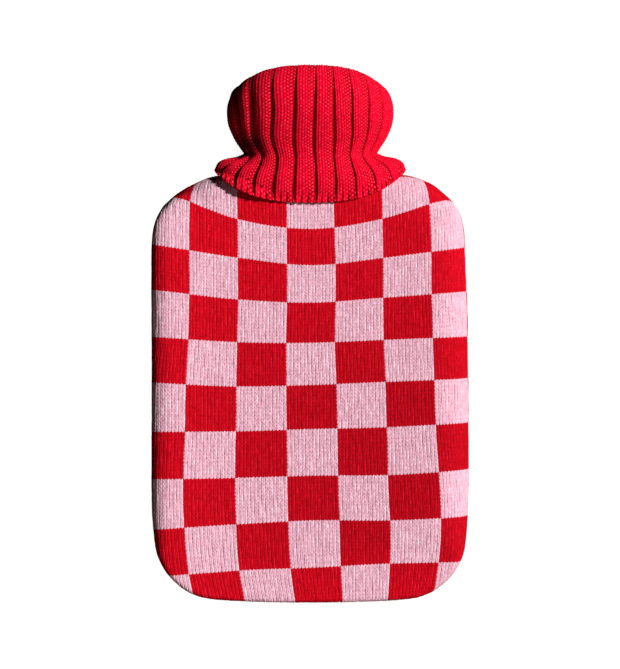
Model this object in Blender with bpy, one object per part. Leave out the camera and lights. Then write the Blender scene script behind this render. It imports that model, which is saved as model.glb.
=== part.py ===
"""Knitted cover for a two-litre hot water bottle, lying on its back with the bottle's room kept open inside.

The cover is three knitted pieces: a front panel and a back panel, joined along a seam that runs round the
sides and the bottom, and a ribbed roll collar.  The collar leaves the panels' neck as a tube, turns over at
its top and comes down outside itself to a flared hem on the shoulders.

Frame: X to the right and Y towards the collar as the cover is seen from above, Z up from the surface that it
lies on.  The origin is on that surface, under the middle of the cover.
"""

import math

import bmesh
import bpy
import numpy as np

MM = 0.001

# ---- the two panels -------------------------------------------------------------------------------------
WALL = 2.5 * MM  # thickness of the knitted cloth
SEAM_GAP = 0.3 * MM  # the two panels meet face to face with this gap
EDGE_REACH = 26 * MM  # how far in from the seam the cloth keeps curving
EDGE_FULLNESS = 2.3  # exponent of the curved edge: 2 is a quarter ellipse, more is squarer
SEAM_HEIGHT = 21 * MM  # seam above the surface along the body
FRONT_HEIGHT = 47.5 * MM  # front panel above the surface, without its crown
CROWN = 3.5 * MM  # rise of the front panel in the middle
CROWN_CENTRE_Y = -40 * MM
CROWN_REACH_Y = 150 * MM
HALF_WIDTH = 105.5 * MM
LIFT_START_Y = 42 * MM  # from here on the back leaves the surface towards the neck
NECK_TOP_Y = 113 * MM  # where the panels end and the collar begins
NECK_BACK_HEIGHT = 15.5 * MM  # underside of the neck above the surface
NECK_HEIGHT = (FRONT_HEIGHT + NECK_BACK_HEIGHT) / 2  # axis of the neck and of the collar

# The seam line, from the neck down to the bottom.  The right side is a little narrower at the shoulder.
# height above the origin, distance of the left seam, distance of the right seam, all in mm
OUTLINE = (
    (113.0, 38.0, 38.0),
    (110.2, 39.6, 39.8),
    (108.0, 44.0, 45.0),
    (106.6, 53.0, 55.0),
    (104.6, 65.3, 68.0),
    (100.0, 77.3, 80.0),
    (94.7, 86.7, 87.3),
    (89.3, 93.6, 93.3),
    (81.3, 100.0, 99.0),
    (70.7, 104.2, 102.0),
    (56.0, 105.5, 103.2),
    (22.0, 105.6, 104.6),
    (-14.0, 105.4, 105.2),
    (-50.0, 105.4, 105.4),
    (-86.0, 105.5, 105.6),
    (-118.0, 105.2, 105.0),
    (-137.3, 103.6, 103.6),
    (-148.0, 101.4, 101.2),
    (-158.7, 95.6, 95.3),
    (-167.0, 87.6, 87.2),
    (-172.6, 79.0, 78.4),
    (-176.3, 66.0, 65.0),
    (-178.2, 34.0, 34.0),
    (-178.7, 0.0, 0.0),
)
OUTLINE_STEPS = 2  # points on each stretch between two rows of the table
EDGE_RINGS = (0.0, 0.03, 0.12, 0.3, 0.6, 1.0)  # shares of EDGE_REACH at which the curved edge has a ring
FACE_RINGS = 3  # rings from the end of the curved edge to the middle line
NECK_SHARE = 0.7  # the rings of the curved edge take at most this share of the way to the middle line
MIDDLE_LOW_Y = -104 * MM  # lower end of the middle line that the rings close on

# ---- the roll collar ------------------------------------------------------------------------------------
COLLAR_WALL = 3.2 * MM  # thickness of the ribbed cloth
RIBS = 24
RIB_POINTS = 5  # points round the collar on each rib
RIB_SHIFT = math.radians(3.1)  # turns the ribs so that a groove lies just right of the middle
SIDE_FULLNESS = 0.3  # squares the collar's oval
DROP_FULLNESS = 0.6  # squares the arc of the hem and of the turn
HEM_SCALLOP = 1.3 * MM  # the hem is this much longer at each rib than at each groove
HEM_CLEARANCE = 2.2 * MM  # middle of the hem's grooves above the panels, beyond half the cloth
HEM_STATIONS = 5  # stations of the table that lie over the shoulders

# The middle of the collar's cloth, from the hem over the turn to the neck: half width, front above the axis,
# back below the axis, then the Y of side, front and back, and the ribs' height, all in mm; the last column is
# how much the ribs crowd towards the middle of the front
COLLAR = (
    ("hem edge", 62.0, 19.6, 28.0, 109.4, 89.6, 90.0, 2.4, 0.08),
    ("hem", 60.7, 20.2, 27.6, 112.2, 94.0, 95.0, 2.6, 0.07),
    ("flare", 56.0, 20.4, 25.4, 114.6, 101.5, 102.5, 2.6, 0.03),
    ("under waist", 48.0, 20.0, 22.0, 116.2, 109.5, 110.0, 2.4, -0.03),
    ("waist", 42.3, 20.0, 20.6, 119.4, 117.5, 117.5, 2.4, -0.07),
    ("over waist", 44.2, 21.6, 21.6, 124.0, 125.0, 125.0, 2.6, -0.05),
    ("bulb low", 49.2, 25.0, 24.4, 132.0, 134.0, 134.0, 2.8, 0.0),
    ("bulb", 52.6, 28.6, 27.2, 141.5, 145.0, 145.0, 2.8, 0.04),
    ("bulb high", 52.9, 30.0, 28.4, 151.5, 158.0, 158.0, 2.6, 0.045),
    ("turn outside", 50.6, 28.0, 26.6, 159.5, 169.4, 169.4, 1.9, 0.045),
    ("turn", 46.6, 23.6, 22.8, 163.0, 176.4, 176.4, 1.0, 0.045),
    ("turn inside", 43.2, 19.0, 18.6, 158.5, 169.5, 169.5, 1.4, 0.04),
    ("inner high", 42.2, 17.6, 17.6, 150.0, 158.0, 158.0, 1.8, 0.03),
    ("inner middle", 39.6, 16.0, 16.0, 137.0, 142.0, 142.0, 1.8, 0.0),
    ("inner waist", 36.2, 14.4, 14.4, 123.0, 124.0, 124.0, 1.2, 0.0),
    ("neck edge", 36.0, 14.3, 14.3, 113.4, 113.4, 113.4, 0.0, 0.0),
)

COLOURS = {  # base colour and roughness of each yarn
    "check": ((0.80, 0.23, 0.30, 1.0), 0.9),
    "rib": ((0.62, 0.0, 0.03, 1.0), 0.85),
}


def clear_scene():
    """Remove what the scene holds at the start."""
    for old in list(bpy.data.objects):
        bpy.data.objects.remove(old, do_unlink=True)


def yarn(name):
    """The material of one of the two yarn mixes."""
    colour, roughness = COLOURS[name]
    material = bpy.data.materials.new(name + "_yarn")
    material.use_nodes = True
    shader = material.node_tree.nodes["Principled BSDF"]
    shader.inputs["Base Color"].default_value = colour
    shader.inputs["Roughness"].default_value = roughness
    shader.inputs["Metallic"].default_value = 0.0
    return material


def smooth_step(share):
    """Ease from 0 to 1 with level ends."""
    share = np.clip(share, 0.0, 1.0)
    return share * share * (3 - 2 * share)


def through(points, steps):
    """Points on the Catmull-Rom curve through these points, with this many steps on each stretch."""
    points = np.asarray(points, float)
    padded = np.vstack([2 * points[0] - points[1], points, 2 * points[-1] - points[-2]])
    before, start, end, after = padded[:-3], padded[1:-2], padded[2:-1], padded[3:]
    curve = []
    for step in range(steps):
        t = step / steps
        curve.append(
            0.5 * (2 * start + (end - before) * t + (2 * before - 5 * start + 4 * end - after) * t**2
                   + (3 * start - before - 3 * end + after) * t**3)
        )
    woven = np.stack(curve, axis=1).reshape(-1, points.shape[1])
    return np.vstack([woven, points[-1]])


def seam_line():
    """The seam from the left of the neck round the bottom to the right of the neck, as X and Y."""
    table = np.array(OUTLINE) * MM
    left = np.column_stack([-table[:, 1], table[:, 0]])
    right = np.column_stack([table[:, 2], table[:, 0]])[::-1]
    return through(np.vstack([left, right[1:]]), OUTLINE_STEPS)


def inward_normals(line):
    """Unit normals of the seam line that point into the cover; those at the neck lie level."""
    along = np.gradient(line, axis=0)
    normals = np.column_stack([-along[:, 1], along[:, 0]])
    normals /= np.linalg.norm(normals, axis=1)[:, None]
    normals[0] = (1.0, 0.0)
    normals[-1] = (-1.0, 0.0)
    return normals


def seam_distance(x, y):
    """Distance from the seam line, above zero inside the cover's outline.

    The line is taken to run straight on past the neck's end.
    """
    line = seam_line()
    line = np.vstack([line[0] + (0, NECK_TOP_Y), line, line[-1] + (0, NECK_TOP_Y)])
    start, end = line[:-1], line[1:]
    along = end - start
    spot = np.stack([x, y], axis=-1)[..., None, :]
    share = ((spot - start) * along).sum(-1) / (along**2).sum(-1)
    foot = start + np.clip(share, 0, 1)[..., None] * along
    away = np.linalg.norm(spot - foot, axis=-1).min(-1)
    low, high = np.minimum(start[:, 1], end[:, 1]), np.maximum(start[:, 1], end[:, 1])
    crossed = (y[..., None] >= low) & (y[..., None] < high)
    climb = np.where(along[:, 1] == 0, 1, along[:, 1])
    reach = start[:, 0] + (y[..., None] - start[:, 1]) * along[:, 0] / climb
    inside = (crossed & (reach > x[..., None])).sum(-1) % 2 == 1
    return np.where(inside, away, -away)


def seam_height(y):
    """Height of the seam, which rises from the body to the neck's axis."""
    share = smooth_step((y - LIFT_START_Y) / (NECK_TOP_Y - LIFT_START_Y))
    return SEAM_HEIGHT + (NECK_HEIGHT - SEAM_HEIGHT) * share


def front_height(x, y):
    """Height of the front panel where its edge no longer curves: level, with a low crown."""
    across = 1 - (x / HALF_WIDTH) ** 2
    along = 1 - ((y - CROWN_CENTRE_Y) / CROWN_REACH_Y) ** 2
    return FRONT_HEIGHT + CROWN * np.clip(across, 0, 1) * np.clip(along, 0, 1)


def back_height(x, y):
    """Height of the back panel: flat on the surface, then curving up to the neck."""
    share = np.clip((y - LIFT_START_Y) / (NECK_TOP_Y - LIFT_START_Y), 0, 1)
    return NECK_BACK_HEIGHT * share**2 + 0 * x


def panel_height(x, y, distance, front, growth=0.0):
    """Height of a panel, moved outwards by its growth, where the seam is at this distance.

    From the seam the height follows a quarter of a superellipse up, or down, to the panel's face.
    """
    seam = seam_height(y) + (SEAM_GAP / 2 if front else -SEAM_GAP / 2)
    face = front_height(x, y) + growth if front else back_height(x, y) - growth
    left = 1 - np.clip((distance + growth) / (EDGE_REACH + growth), 0, 1)
    return seam + (face - seam) * (1 - left**EDGE_FULLNESS) ** (1 / EDGE_FULLNESS)


def quads(numbers):
    """Faces of a grid of point numbers."""
    corners = (numbers[:-1, :-1], numbers[:-1, 1:], numbers[1:, 1:], numbers[1:, :-1])
    return np.stack(corners, axis=-1).reshape(-1, 4).tolist()


def cloth(name, outside, inside, rims, material):
    """A solid cloth between two like grids of points, closed along its rims.

    Each rim is a run of point numbers of the outside grid.
    """
    points = np.concatenate([outside.reshape(-1, 3), inside.reshape(-1, 3)])
    numbers = np.arange(outside.shape[0] * outside.shape[1]).reshape(outside.shape[:2])
    if np.allclose(outside[:, 0], outside[:, -1]):
        numbers[:, -1] = numbers[:, 0]
    faces = quads(numbers) + quads(numbers + numbers.size)
    for rim in rims:
        run = rim(numbers)
        faces += quads(np.stack([run, run + numbers.size]))
    mesh = bpy.data.meshes.new(name)
    mesh.from_pydata(points.tolist(), [], faces)
    work = bmesh.new()
    work.from_mesh(mesh)
    bmesh.ops.remove_doubles(work, verts=work.verts, dist=0.01 * MM)
    bmesh.ops.delete(work, geom=[v for v in work.verts if not v.link_faces], context="VERTS")
    bmesh.ops.recalc_face_normals(work, faces=work.faces)
    work.to_mesh(mesh)
    work.free()
    mesh.materials.append(material)
    mesh.shade_smooth()
    bpy.context.scene.collection.objects.link(bpy.data.objects.new(name, mesh))


def panel_side(front, inset):
    """Points of one side of a panel, ring by ring from the seam to the middle line.

    The inset is the depth of this side below the panel's outside.
    """
    line = seam_line()
    normals = inward_normals(line)
    seam = line + normals * inset
    half = len(line) // 2
    down = 1 - np.abs(np.arange(len(line)) / half - 1)
    middle = np.column_stack([0 * down, NECK_TOP_Y + (MIDDLE_LOW_Y - NECK_TOP_Y) * down])
    aim = middle - seam
    span = np.linalg.norm(aim, axis=1)
    lean = np.maximum((aim * normals).sum(1) / span, 0.1)
    reach = np.minimum((EDGE_REACH - inset) / lean, NECK_SHARE * span)[:, None]
    rings = [seam + aim / span[:, None] * reach * share for share in EDGE_RINGS]
    edge = rings[-1]
    rings += [edge + (middle - edge) * step / FACE_RINGS for step in range(1, FACE_RINGS + 1)]
    x, y = np.stack(rings)[..., 0], np.stack(rings)[..., 1]
    distance = seam_distance(x, y)
    distance[0] = inset
    return np.stack([x, y, panel_height(x, y, distance, front, -inset)], axis=-1)


def panel(name, front):
    """One panel: a sheet whose edge curves from the seam to the panel's face."""
    seam_and_neck = (lambda grid: np.concatenate([grid[::-1, 0], grid[0, 1:-1], grid[:, -1]]),)
    cloth(name, panel_side(front, 0.0), panel_side(front, WALL), seam_and_neck, yarn("check"))


def rib_profile(turn):
    """0 in the groove between two ribs and 1 on their backs, with round backs and narrow grooves."""
    phase = (turn - RIB_SHIFT - math.pi / 2) * RIBS / (2 * math.pi)
    across = 2 * np.abs(phase - np.round(phase))
    return np.sqrt(1 - (1 - across) ** 2.6)


def collar_middle(turn):
    """The middle surface of the collar's cloth, station by station, without its ribs."""
    table = np.array([row[1:] for row in COLLAR])
    half_width, front, back, side_y, front_y, back_y = (table[:, i : i + 1] * MM for i in range(6))
    spread = turn + table[:, 7:] * np.sin(2 * turn)
    across, upright = np.cos(spread), np.sin(spread)
    depth = np.where(upright > 0, front, back)
    z = NECK_HEIGHT + depth * upright * (1 + SIDE_FULLNESS * across**2)
    drop = upright**2 * (1 + DROP_FULLNESS * across**2)
    y = side_y + (np.where(upright > 0, front_y, back_y) - side_y) * drop
    points = np.stack([half_width * across, y, z], axis=-1)
    lay_on_shoulders(points[:HEM_STATIONS])
    return points


def lay_on_shoulders(points):
    """Move the hem's points clear of the panels, up in front and down behind."""
    x, y, z = points[..., 0], points[..., 1], points[..., 2]
    clear = COLLAR_WALL / 2 + HEM_CLEARANCE
    distance = seam_distance(x, y)
    above = panel_height(x, y, distance, True, clear)
    below = panel_height(x, y, distance, False, clear)
    over = distance > -clear
    front = z > seam_height(y)
    points[..., 2] = np.where(over, np.where(front, np.maximum(z, above), np.minimum(z, below)), z)


def surface_normals(points):
    """Unit normals of a grid of points that is closed round its columns, pointing out of the ribs."""
    along = np.gradient(points, axis=0)
    round_it = np.roll(points, -1, axis=1) - np.roll(points, 1, axis=1)
    normals = np.cross(along, round_it)
    return normals / np.linalg.norm(normals, axis=-1)[..., None]


def collar():
    """The ribbed roll collar: one cloth from the hem over the turn to the neck."""
    turn = RIB_SHIFT + np.arange(RIBS * RIB_POINTS) * 2 * math.pi / (RIBS * RIB_POINTS)
    points = collar_middle(turn)
    normals = surface_normals(points)
    ribs = rib_profile(turn)
    heights = np.array([row[7] for row in COLLAR])[:, None] * MM
    points += normals * (heights * (ribs - 0.5))[..., None]
    points[0, :, 1] -= HEM_SCALLOP * (ribs - 0.5)
    sides = [points + normals * COLLAR_WALL / 2 * side for side in (1, -1)]
    outside, inside = (np.concatenate([side, side[:, :1]], axis=1) for side in sides)
    hem_and_neck = (lambda grid: grid[0], lambda grid: grid[-1])
    cloth("roll_collar", outside, inside, hem_and_neck, yarn("rib"))


def main():
    clear_scene()
    panel("front_panel", front=True)
    panel("back_panel", front=False)
    collar()


main()
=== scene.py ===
"""Looks of a knitted hot water bottle cover: stitched panels in checks, a ribbed roll collar, and a studio.

Laid out as a Blender add-on: the sizes and colours are properties, each piece has an operator that knits it,
and the panel in the sidebar holds them all.  Lengths are in millimetres in the tables and where a comment
says so, and in metres elsewhere.
"""

import math

import bpy
import numpy as np
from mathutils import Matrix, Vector


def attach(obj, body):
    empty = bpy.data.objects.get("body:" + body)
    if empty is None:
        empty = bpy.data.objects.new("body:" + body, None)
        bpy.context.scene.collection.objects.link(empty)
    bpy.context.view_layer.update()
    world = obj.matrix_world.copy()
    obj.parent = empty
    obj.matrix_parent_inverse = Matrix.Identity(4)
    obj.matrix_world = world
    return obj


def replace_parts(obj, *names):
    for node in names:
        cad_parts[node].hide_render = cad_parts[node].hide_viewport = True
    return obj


bl_info = {
    "name": "Knitted bottle cover",
    "version": (1, 0, 0),
    "blender": (4, 5, 0),
    "location": "3D View > Sidebar > Cover",
    "description": "Knits the panels and the roll collar of a hot water bottle cover",
    "category": "Object",
}

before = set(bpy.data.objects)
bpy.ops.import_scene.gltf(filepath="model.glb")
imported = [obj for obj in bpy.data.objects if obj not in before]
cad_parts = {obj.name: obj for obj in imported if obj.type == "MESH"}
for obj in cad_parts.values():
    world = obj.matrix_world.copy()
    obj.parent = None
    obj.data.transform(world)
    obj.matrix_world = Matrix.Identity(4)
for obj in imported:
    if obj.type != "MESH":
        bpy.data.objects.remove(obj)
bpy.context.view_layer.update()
MM = 0.001

# ---- the form of the cover, as in the solids ----
EDGE_REACH = 26 * MM  # how far in from the seam the cloth keeps curving
EDGE_FULLNESS = 2.3  # exponent of the curved edge: 2 is a quarter ellipse, more is squarer
EDGE_RISE = 26.5 * MM  # rise of the curved edge from which its length along the cloth is taken
SEAM_HEIGHT = 21 * MM  # seam above the surface along the body
HALF_SEAM_GAP = 0.05 * MM  # how far each panel stays from the seam's height
FRONT_HEIGHT = 47.5 * MM  # front panel above the surface, without its crown
CROWN = 3.0 * MM  # rise of the front panel from the neck to the middle
CROWN_CENTRE_Y = -40 * MM  # up to here it is full
CROWN_REACH_Y = 150 * MM  # and over this length it falls to nothing
LIFT_START_Y = 42 * MM  # from here on the back leaves the surface towards the neck
NECK_TOP_Y = 113 * MM  # where the panels end and the collar begins
NECK_BACK_HEIGHT = 15.5 * MM
NECK_HEIGHT = (FRONT_HEIGHT + NECK_BACK_HEIGHT) / 2  # axis of the neck and of the collar

# The seam line from the neck to the bottom: height, distance of the left seam, distance of the right seam.
OUTLINE = (
    (113.0, 38.0, 38.0),
    (110.2, 39.6, 39.8),
    (108.0, 44.0, 45.0),
    (106.6, 53.0, 55.0),
    (104.6, 65.3, 68.0),
    (100.0, 77.3, 80.0),
    (94.7, 86.7, 87.3),
    (89.3, 93.6, 93.3),
    (81.3, 100.0, 99.0),
    (70.7, 104.2, 102.0),
    (56.0, 105.5, 103.2),
    (22.0, 105.6, 104.6),
    (-14.0, 105.4, 105.2),
    (-50.0, 105.4, 105.4),
    (-86.0, 105.5, 105.6),
    (-118.0, 105.2, 105.0),
    (-137.3, 103.6, 103.6),
    (-148.0, 101.4, 101.2),
    (-158.7, 95.6, 95.3),
    (-167.0, 87.6, 87.2),
    (-172.6, 79.0, 78.4),
    (-176.3, 66.0, 65.0),
    (-178.2, 34.0, 34.0),
    (-178.7, 0.0, 0.0),
)

# ---- what the front's cloth adds to that form ----
LEFT_FULLNESS, RIGHT_FULLNESS = 11.0, 2.7  # exponent of the edge on either side
END_FULLNESS = 30.0  # the same at the bottom, and the largest of them
LEFT_INSET, END_INSET = 0.6 * MM, 1.05 * MM  # how far in those edges lie, as the relief stands out again
SHOULDER_SLANT = 0.3  # the edge turns into that of the solids where the seam slants more than this
SHOULDER_Y, SHOULDER_REACH = 80 * MM, 20 * MM  # and above this height
RIM = 4.2 * MM  # rise of the front along its left edge, where the bottle's edge lies under it
LOW_RIM = 2.2 * MM  # the same along the bottom
RIM_PLACE, RIM_REACH = 12 * MM, 14 * MM  # where it is highest, in from the seam, and how slowly it falls
RIM_FALL = 2.5 * MM  # how far it falls again from there to the left seam
RIM_TOP_Y, RIM_END = 50 * MM, 40 * MM  # where the left rim sinks away to the shoulder, and over what length

# ---- the form of the collar ----
# The collar's cloth from the hem over the turn to the neck: half width, front above the axis, back below the
# axis, then the Y of side, front and back, the ribs' height, and how much they crowd to the front's middle.
COLLAR = (
    (62.0, 17.8, 28.0, 109.4, 89.6, 90.0, 2.4, 0.08),
    (60.7, 19.0, 27.6, 112.2, 94.0, 95.0, 2.6, 0.07),
    (56.0, 20.4, 25.4, 114.6, 101.5, 102.5, 2.6, 0.03),
    (48.0, 20.0, 22.0, 116.2, 109.5, 110.0, 2.4, -0.03),
    (42.3, 20.0, 20.6, 119.4, 117.5, 117.5, 2.4, -0.07),
    (44.2, 21.6, 21.6, 124.0, 125.0, 125.0, 2.6, -0.05),
    (49.2, 25.0, 24.4, 132.0, 134.0, 134.0, 2.8, 0.0),
    (52.6, 28.6, 27.2, 141.5, 145.0, 145.0, 2.8, 0.04),
    (52.9, 30.0, 28.4, 151.5, 158.0, 158.0, 2.6, 0.045),
    (50.6, 28.0, 26.6, 159.5, 169.4, 169.4, 1.2, 0.045),
    (46.6, 23.6, 22.8, 163.0, 176.4, 176.4, 0.3, 0.045),
    (43.2, 19.0, 18.6, 158.5, 169.5, 169.5, 1.4, 0.04),
    (42.2, 17.6, 17.6, 150.0, 158.0, 158.0, 1.8, 0.03),
    (39.6, 16.0, 16.0, 137.0, 142.0, 142.0, 1.8, 0.0),
    (36.2, 14.4, 14.4, 123.0, 124.0, 124.0, 1.2, 0.0),
    (36.0, 14.3, 14.3, 113.4, 113.4, 113.4, 0.0, 0.0),
)
HEM_ROWS = 5  # rows of it that are kept clear of the panels
BULB_ROW, TOP_ROW, TURN_ROW = 3, 7, 10  # rows where the bulb and its top begin, and where the cloth turns
COLLAR_WALL = 3.2 * MM  # thickness of its cloth
SIDE_FULLNESS, HEM_FULLNESS = 0.3, 0.55  # how much squarer than an ellipse it is, past the hem and at it
DROP_FULLNESS = 0.6  # how soon the front's Y is reached, going round from the side
HEM_CLEARANCE = 0.4 * MM  # how far the hem stays from the panels
HEM_BACK = 0.9 * MM  # from the middle of the cloth to its inner face, at the hem
HEM_LIFT = 4.5 * MM  # how much further the hem stands off the front on the left
LIFT_X, LIFT_REACH = 18 * MM, 30 * MM  # from how far left on, and over what length
RIBS = 24
RIB_SHIFT = math.radians(3.1)  # how far left of the middle the middle rib lies

# One rib from the groove on its left to the groove on its right: share of the cloth, place across the rib,
# height, and height on the far left of the bulb.  The left flank stands upright and the right one falls away
# gently, but on the far left it is the other way round.
RIB_FORM = (
    (0.00, 0.000, 0.00, 0.00),
    (0.08, 0.015, 0.42, 0.06),
    (0.15, 0.040, 0.76, 0.12),
    (0.21, 0.090, 0.86, 0.22),
    (0.31, 0.210, 0.92, 0.44),
    (0.42, 0.340, 0.98, 0.66),
    (0.53, 0.470, 1.00, 0.78),
    (0.64, 0.590, 0.90, 0.95),
    (0.75, 0.710, 0.70, 1.00),
    (0.87, 0.850, 0.38, 0.45),
    (1.00, 1.000, 0.00, 0.00),
)
RIB_ROUNDING = 0.35  # how much of the ribs' form is eased
RIB_SINK, LEFT_SINK = 0.55, 0.35  # share of a rib's height below the cloth's middle, and how much more left
RIB_FOLD = 0.45  # how much higher they stand on the left, where the cloth folds more deeply
RIB_SWAY = 0.007  # how far the ribs sway from side to side, in radians
FAR_LEFT, FAR_LEFT_REACH = 0.42, 0.35  # cosine from which the far left's form begins, and over how much
LEFT_SPREAD = math.radians(16.3)  # how far the ribs of the bulb are spread round to the left
TOP_SPREAD = 0.5  # how much more so at its top
TOP_FOLD = math.radians(8)  # how far the outermost ribs are pushed round besides, at its top
FOLD_START, FOLD_REACH = math.radians(120), math.radians(27)  # where round the tube that begins and is full
FOLD_END = 1.1  # over how many radians it then fades

# The rounded strand ends on the hem of each rib: place across the rib, half their width, how far they reach.
HEM_KNOBS = (
    (0.01, 0.19, 3.9),
    (0.39, 0.17, 2.9),
    (0.73, 0.15, 2.7),
    (1.01, 0.19, 3.9),
)
KNOB_HEIGHT = 2.8 * MM  # from the gaps between them to their tops
KNOB_COURSES = 1.6  # stitches over which a strand end runs out, and once more that for the longest
KNOB_REACH, HEM_REACH = 0.5, 1.7 * MM  # share of the strand ends' reach that is used, and the hem's own
REACH_COURSES = 2.5  # stitches over which the cloth is drawn out to both together
LIP_REACH = 0.35  # share of both at the two ends of the rolled edge
HEM_FLATNESS = 0.5  # share of the ribs' height that goes at the hem
HEM_BULGE, BULGE_COURSES = 0.5, 5  # how much fuller they are there, and over how many stitches
HEM_THIN, THIN_COURSES = 1.2 * MM, 3.5  # how much thinner the cloth is there, and over how many stitches

# ---- the checks, as they lie on the front ----
CHECK_WALES = 14  # stitches across a check
CHECK_COURSES = 12  # stitches up a check
SIDE_CHECKS = 4.5  # checks from the middle to the last one that is knitted
FIRST_ROW, LAST_ROW = -2, 10  # rows of checks, counted down from the first whole one

# For each line between two rows of checks, from the one above the first whole row: how far right the middle
# column lies, the width of the checks left and right of it, and the line's height at 3 and 1.5 checks left of
# the middle, at the middle, and at 1.5 and 3 checks right of it.
CHECK_LINES = (
    (-0.1, 32.2, 31.5, 121.0, 108.0, 100.6, 107.3, 120.6),
    (0.5, 32.3, 31.5, 94.6, 75.8, 69.3, 76.0, 91.5),
    (1.0, 32.5, 31.7, 57.7, 50.2, 45.3, 50.1, 56.0),
    (1.0, 32.4, 31.8, 28.0, 22.6, 20.5, 23.7, 27.2),
    (0.5, 32.4, 32.3, -2.7, -5.7, -6.1, -4.2, -2.3),
    (1.2, 33.4, 32.4, -32.8, -35.0, -34.0, -32.0, -30.1),
    (1.6, 33.7, 32.7, -65.0, -64.7, -63.2, -62.0, -59.5),
    (2.1, 34.3, 33.3, -96.4, -95.5, -94.0, -93.6, -90.6),
    (2.8, 34.3, 33.6, -129.5, -126.2, -123.6, -123.6, -121.4),
    (4.0, 33.7, 32.5, -161.3, -156.8, -154.7, -152.1, -151.4),
    (7.0, 32.0, 29.6, -193.0, -189.0, -186.3, -183.3, -182.3),
)
LINE_COLUMNS = 1.5  # checks between two heights of a line
LINE_END = 3.4  # checks from the middle past which a line stays level

# ---- stitches ----
PANEL_LEAN, COLLAR_LEAN = 0.3, 0.5  # how much higher a stitch's legs end than its foot, in stitches
COURSE_POINTS = 1.8  # rows of points to a stitch's height, which keep a panel under 200,000 triangles
WALE_POINTS = 4  # points across a stitch of the panels: the groove, a leg, the middle and the other leg
WALE_RELIEF = (-0.40, 0.22, -0.08, 0.22)  # their heights in mm
WALE_WANDER = 0.25  # how far the wales wander sideways, in mm
GROOVE_DEPTH, GROOVE_CHANGE = 0.8, 0.5  # share of their depth that the grooves have, and how much it changes
LEG_CHANGE, STRAND_CHANGE = 0.08, 0.07  # how uneven the panels' and the collar's stitches are, in mm
PRESSED = 0.25  # how far the back's stitches are pressed flat, in mm, as the cover lies on them
SEAM_TURN = 3 * MM  # how far the panels' edges turn in behind the seam
SEAM_DIP, DIP_REACH = 0.8, 2.2 * MM  # how far the seam draws the cloth in, in mm, and over what length
SEAM_EASE, SEAM_DARK = 2.5 * MM, 1.2 * MM  # how far from it the stitches start, and how far painted shade along it reaches
COLLAR_COURSE = 2.27 * MM  # height of a stitch of the collar
COLLAR_WALES = 4  # stitches across a rib
STRAND_POINTS = 3  # points across a leg of the collar's stitches: the gap beside it and its two sides
STRAND_RELIEF = (-0.24, 0.18, 0.18)  # their heights in mm
STRAND_BELLY = 0.10  # how much higher a strand is on the belly of a stitch, in mm
TURN_FLAT, TURN_REACH = 0.6, 0.5  # how much flatter the stitches are at the turn, and over how many rows
LIP_ROWS = 6  # rows of points round the rolled edge of the hem
INNER_ROWS, HEM_INSIDE = 5, 14 * MM  # rows of points up the cloth's inner face, and how far up they go

# ---- painted shade on the collar, where its cloth lies deep ----
GROOVE_TOP, LEFT_GROOVE_TOP = 0.4, 0.5  # height of a rib up to which it is shaded, and how much more far left
FLANK_START, FLANK_REACH = 0.55, 0.45  # share of the rib from which its right flank takes painted shade, for the next rib's shadow, and over which
FLANK_SHADE = 0.7  # how dark it is at the groove
SHADE_MEAN, SHADE_TURN, SHADE_LEAST = 0.15, 0.85, 0.22  # the painted shade round the tube, most of it on the left, away from the light
WAIST_ROW, WAIST_REACH = 5.3, 1.0  # where painted shade stands for cloth folded deep under the left of the bulb, and how far
WAIST_LEFT, WAIST_SIDE, WAIST_SHADE = 0.48, 0.16, 0.95  # from which cosine, over how much, and how dark
KNOB_GAP, GAP_SHADE, GAP_COURSES = 0.45, 0.8, 2  # the gaps of the strand ends: height, shade and length


def linear(hex_colour):
    """The linear colour of an sRGB hex colour, with alpha 1."""
    parts = [int(hex_colour[i : i + 2], 16) / 255 for i in (0, 2, 4)]
    return (*(p / 12.92 if p <= 0.04045 else ((p + 0.055) / 1.055) ** 2.4 for p in parts), 1.0)


def colour_property(name, description, hex_colour):
    """A colour that a user may change."""
    return bpy.props.FloatVectorProperty(
        name=name, description=description, default=linear(hex_colour), size=4, subtype="COLOR"
    )


class CoverSizes(bpy.types.PropertyGroup):
    """What may be changed without a new form."""

    relief: bpy.props.FloatProperty(
        name="Relief", description="Height of the stitches against real ones", default=1.0, min=0.0, max=2.0
    )
    unevenness: bpy.props.FloatProperty(
        name="Unevenness", description="How irregular the stitches are", default=1.0, min=0.0, max=2.0
    )
    seed: bpy.props.IntProperty(name="Seed", description="Which irregular knit is made", default=7, min=0)


class CoverColours(bpy.types.PropertyGroup):
    """Colours of the yarns, each on its legs, with painted shade between them and painted highlights, and of
    the paper.
    """

    red: colour_property("Red", "Red yarn of the checks", "B70416")
    # painted shade: the red yarn between the stitches
    red_painted_shade: colour_property("Red, deep", "Red yarn between the stitches", "80000C")
    # painted highlight: the red yarn in the light
    red_painted_highlight: colour_property("Red, light", "Red yarn in the light", "D01830")
    pink: colour_property("Pink", "Pink yarn of the checks", "DDA9B9")
    # painted shade: the pink yarn between the stitches
    pink_painted_shade: colour_property("Pink, deep", "Pink yarn between the stitches", "90304F")
    # painted highlight: the pink yarn in the light
    pink_painted_highlight: colour_property("Pink, light", "Pink yarn in the light", "F6DCE5")
    collar: colour_property("Collar", "Red yarn of the collar", "E6042B")
    # painted shade: the collar's yarn in the gaps between its strands
    collar_shade: colour_property("Collar, shade", "Collar yarn between the stitches", "A00000")
    # painted glints: the collar's fibres in the light
    collar_painted_glint: colour_property("Collar, light", "Fibres of the collar in the light", "FF5070")
    # painted shade: the collar's yarn between the ribs and in its folds
    collar_painted_deep_shade: colour_property("Collar, deep", "Collar yarn between the ribs", "100001")
    floor: colour_property("Floor", "Paper that the cover lies on", "F6F5F3")


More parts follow.
